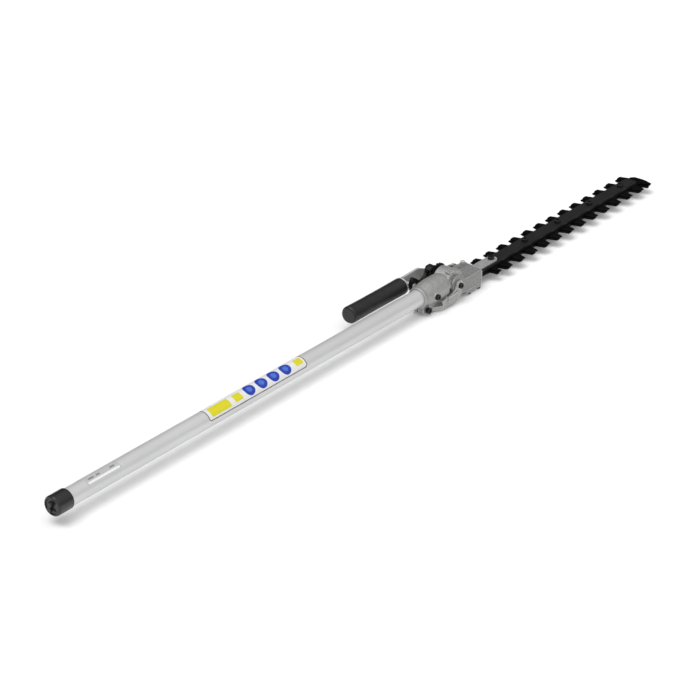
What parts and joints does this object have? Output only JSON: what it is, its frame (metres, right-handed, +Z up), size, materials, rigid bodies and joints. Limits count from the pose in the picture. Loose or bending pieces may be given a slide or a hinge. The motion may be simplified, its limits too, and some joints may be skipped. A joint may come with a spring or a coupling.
{
  "type": "pole hedge trimmer",
  "caption": "Long straight pole with a capped tail, an adjustable gear head with a side handle and lock lever, and a double-sided toothed blade.",
  "frame": {"origin": "on the pole's axis at the end cap's rim, where the bare coupling seat begins", "axes": "+X along the pole towards the blade tip, +Y towards the side handle, +Z up, square to the blade"},
  "size_m": [1.4036, 0.0874, 0.053],
  "materials": {
    "pole": "satin anodised",
    "cast_case": "bead blasted casting",
    "arm_metal": "satin casting",
    "bright_steel": "machined",
    "black_steel": "black oxide",
    "blade_black": "matte black",
    "cap_plastic": "satin soft plastic",
    "grip": "matte moulded",
    "label": "printed film"
  },
  "bodies": {
    "end_cap_body": {"end_cap": "cap_plastic"},
    "drive": {"drive_shaft": "bright_steel", "input_pinion": "bright_steel"},
    "cross": {"cross_shaft": "bright_steel", "cross_bevel_gear": "bright_steel", "cross_spur_gear": "bright_steel"},
    "idler": {"idler_gear": "bright_steel"},
    "jack": {"jack_shaft": "bright_steel", "jack_spur_gear": "bright_steel", "jack_bevel_gear": "bright_steel"},
    "crank": {"crank_gear": "bright_steel"},
    "upper": {"upper_blade": "blade_black", "upper_link": "bright_steel"},
    "lower": {"lower_blade": "blade_black", "lower_link": "bright_steel"},
    "lever": {"lock_lever": "black_steel"},
    "head": {"blade_gear_case": "cast_case", "near_cover": "cast_case", "near_cover_screws": "bright_steel", "bottom_cover": "cast_case", "bottom_cover_screws": "black_steel", "cover_gasket": "cap_plastic", "front_plate": "bright_steel", "front_plate_screws": "black_steel", "grease_plug": "arm_metal", "blade_bar": "blade_black", "guide_tongue": "bright_steel", "blade_screws": "black_steel", "blade_bushes": "bright_steel", "blade_washers": "bright_steel", "blade_nuts": "bright_steel", "handle_arm": "arm_metal", "arm_screws": "black_steel", "handle_grip": "grip", "grip_collar": "bright_steel", "lever_pin": "bright_steel", "lever_spring": "bright_steel", "idler_pin": "bright_steel", "jack_bearing": "bright_steel", "crank_top_bush": "bright_steel", "crank_bearing": "bright_steel"},
    "pole": {"bearing_circlip": "bright_steel", "clamp_screw": "black_steel", "cross_bearing_far": "bright_steel", "cross_bearing_near": "bright_steel", "drum_cover": "cast_case", "drum_cover_screws": "black_steel", "index_plate": "black_steel", "index_screw": "black_steel", "index_washer": "bright_steel", "input_bearing": "bright_steel", "locating_screw": "black_steel", "pivot_screw": "black_steel", "pivot_washer": "bright_steel", "pole_tube": "pole", "rating_label": "label", "rear_gear_case": "cast_case", "shaft_bushes": "cap_plastic", "warning_label": "label"}
  },
  "joints": [
    {"name": "cap_slide", "type": "slide", "parent": "pole", "child": "end_cap_body", "axis": [-1, 0, 0], "range_m": [0, 0.2]},
    {"name": "drive_spin", "type": "hinge", "parent": "pole", "child": "drive", "pos_m": [0, 0, 0], "axis": [1, 0, 0], "continuous": true},
    {"name": "cross_spin", "type": "hinge", "parent": "pole", "child": "cross", "pos_m": [0.834, 0, 0], "axis": [0, 1, 0], "continuous": true},
    {"name": "head_tilt", "type": "hinge", "parent": "pole", "child": "head", "pos_m": [0.834, 0, 0], "axis": [0, 1, 0], "range_deg": [-45, 90]},
    {"name": "idler_spin", "type": "hinge", "parent": "head", "child": "idler", "pos_m": [0.8518, 0, -0.0085], "axis": [0, 1, 0], "continuous": true},
    {"name": "jack_spin", "type": "hinge", "parent": "head", "child": "jack", "pos_m": [0.867, 0, -0.006], "axis": [0, 1, 0], "continuous": true},
    {"name": "crank_spin", "type": "hinge", "parent": "head", "child": "crank", "pos_m": [0.867, 0, 0], "axis": [0, 0, 1], "continuous": true},
    {"name": "upper_blade_slide", "type": "slide", "parent": "head", "child": "upper", "axis": [1, 0, 0], "range_m": [-0.0075, 0.0015]},
    {"name": "lower_blade_slide", "type": "slide", "parent": "head", "child": "lower", "axis": [1, 0, 0], "range_m": [-0.0015, 0.0075]},
    {"name": "lever_press", "type": "hinge", "parent": "head", "child": "lever", "pos_m": [0.789, 0, 0], "axis": [0, 1, 0], "range_deg": [-12, 0], "stiffness_Nm_per_rad": 0.5, "springref_deg": 5.73}
  ],
  "couplings": [
    {"joint": "cross_spin", "follows": "drive_spin", "ratio": 0.66667},
    {"joint": "idler_spin", "follows": "drive_spin", "ratio": -0.78431},
    {"joint": "jack_spin", "follows": "drive_spin", "ratio": 1.1111},
    {"joint": "crank_spin", "follows": "drive_spin", "ratio": 0.49383},
    {"joint": "lower_blade_slide", "follows": "upper_blade_slide", "ratio": -1}
  ]
}
